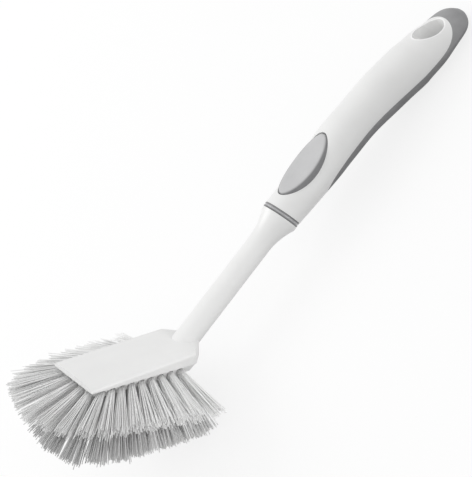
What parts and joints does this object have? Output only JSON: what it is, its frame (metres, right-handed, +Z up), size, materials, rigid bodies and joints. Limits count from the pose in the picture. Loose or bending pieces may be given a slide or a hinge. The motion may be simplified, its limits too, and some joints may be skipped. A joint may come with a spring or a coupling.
{
  "type": "dish brush",
  "caption": "Washing-up brush with a fan of bristle tufts in a flat angled head, a thin neck and a thick handle with a soft grip, a thumb pad and a hanging hole.",
  "frame": {"origin": "centre of the bounding box in plan, on the ground that the bristle tips and the underside of the handle rest on", "axes": "+X along the brush from the bristles to the end with the hanging hole, +Y across it, +Z up"},
  "size_m": [0.2792, 0.0852, 0.0785],
  "materials": {
    "white_plastic": "gloss white moulded plastic",
    "grip_rubber": "satin mid grey soft-touch rubber",
    "pad_rubber": "satin light grey soft-touch rubber",
    "ring_plastic": "satin grey",
    "bristle": "translucent off-white filament",
    "anchor_metal": "plain"
  },
  "bodies": {
    "root": {"head_and_neck": "white_plastic", "handle_body": "white_plastic", "back_grip": "grip_rubber", "thumb_pad": "pad_rubber", "trim_ring": "ring_plastic", "tuft_anchors": "anchor_metal", "outer_tuft_01": "bristle", "outer_tuft_02": "bristle", "outer_tuft_03": "bristle", "outer_tuft_04": "bristle", "outer_tuft_05": "bristle", "outer_tuft_06": "bristle", "outer_tuft_07": "bristle", "outer_tuft_08": "bristle", "outer_tuft_09": "bristle", "outer_tuft_10": "bristle", "outer_tuft_11": "bristle", "outer_tuft_12": "bristle", "outer_tuft_13": "bristle", "outer_tuft_14": "bristle", "outer_tuft_15": "bristle", "outer_tuft_16": "bristle", "outer_tuft_17": "bristle", "outer_tuft_18": "bristle", "outer_tuft_19": "bristle", "outer_tuft_20": "bristle", "outer_tuft_21": "bristle", "outer_tuft_22": "bristle", "outer_tuft_23": "bristle", "inner_tuft_01": "bristle", "inner_tuft_02": "bristle", "inner_tuft_03": "bristle", "inner_tuft_04": "bristle", "inner_tuft_05": "bristle", "inner_tuft_06": "bristle", "inner_tuft_07": "bristle", "inner_tuft_08": "bristle", "inner_tuft_09": "bristle", "inner_tuft_10": "bristle", "inner_tuft_11": "bristle", "inner_tuft_12": "bristle", "inner_tuft_13": "bristle", "inner_tuft_14": "bristle", "inner_tuft_15": "bristle", "inner_tuft_16": "bristle", "inner_tuft_17": "bristle", "middle_tuft_01": "bristle", "middle_tuft_02": "bristle", "middle_tuft_03": "bristle", "middle_tuft_04": "bristle", "middle_tuft_05": "bristle", "middle_tuft_06": "bristle"}
  },
  "joints": []
}
